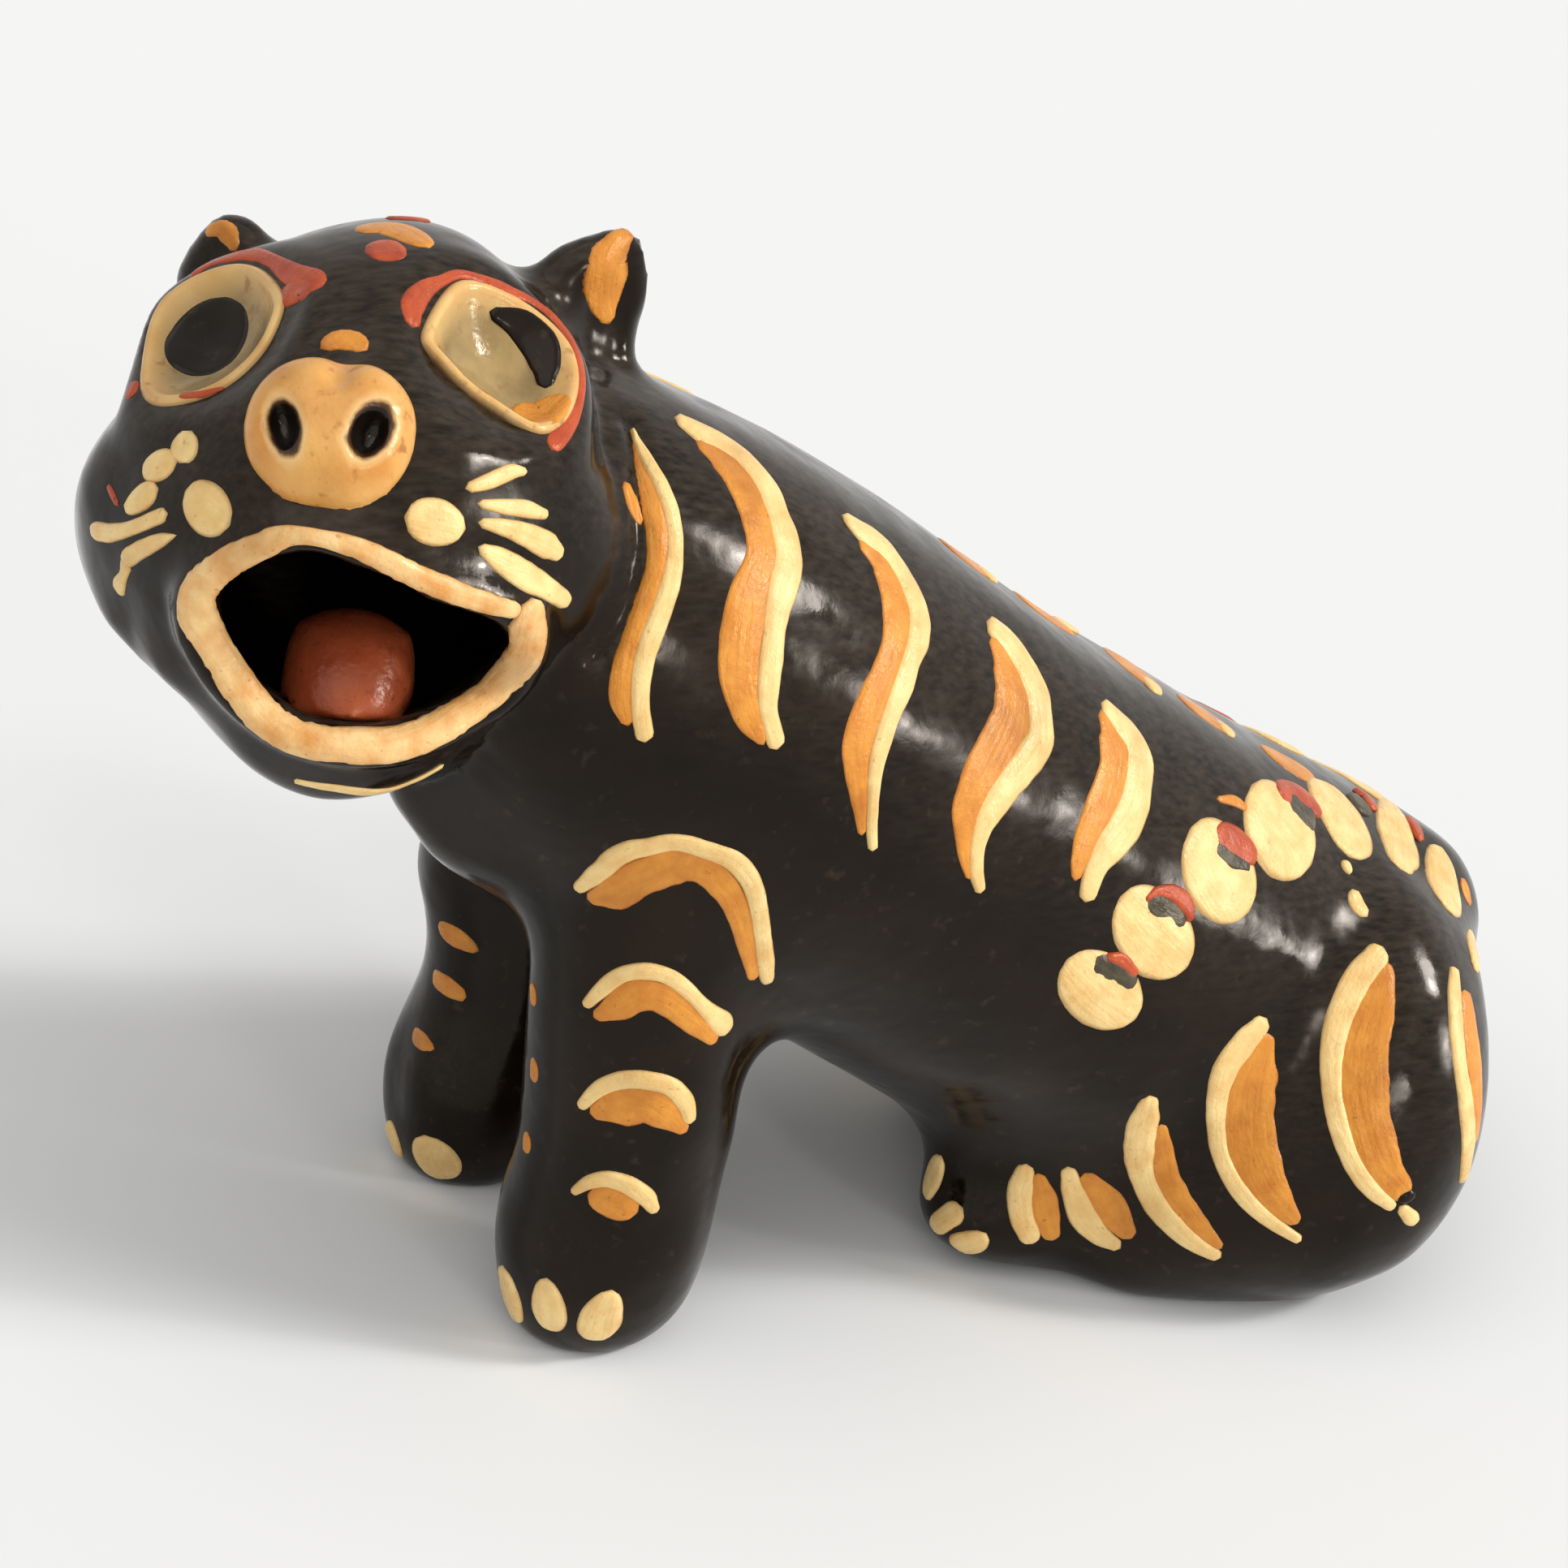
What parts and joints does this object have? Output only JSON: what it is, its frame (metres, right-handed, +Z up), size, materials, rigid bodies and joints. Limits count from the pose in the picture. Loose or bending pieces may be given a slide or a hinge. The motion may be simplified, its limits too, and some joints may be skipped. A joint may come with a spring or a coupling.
{
  "type": "seated tiger ornament",
  "caption": "Hollow hand-built earthenware tiger, seated with its open-mouthed head turned aside, slip-painted with stripes and glazed black; a shelf ornament that stands on paws and haunches.",
  "frame": {"origin": "under the middle of the figure's bounding box, on the table", "axes": "+Z up, the seated animal faces -Y, its own left side is +X, and its length runs along Y"},
  "size_m": [0.0966, 0.2092, 0.147],
  "materials": {
    "black_glaze": "glossy black-brown glaze over earthenware",
    "cream_slip": "cream slip under clear glaze",
    "tan_slip": "thin tan slip under clear glaze",
    "ochre_slip": "ochre slip under clear glaze",
    "red_slip": "red iron slip under clear glaze"
  },
  "bodies": {
    "root": {"left_body_shell": "black_glaze", "right_body_shell": "black_glaze", "neck_collar": "black_glaze", "head_shell": "black_glaze", "lip_ring": "cream_slip", "tongue": "red_slip", "nose_pad": "ochre_slip", "left_eye_cup": "tan_slip", "right_eye_cup": "tan_slip", "left_ear": "black_glaze", "right_ear": "black_glaze", "left_hind_leg": "black_glaze", "right_hind_leg": "black_glaze", "left_front_leg": "black_glaze", "right_front_leg": "black_glaze", "tail": "black_glaze"}
  },
  "joints": []
}
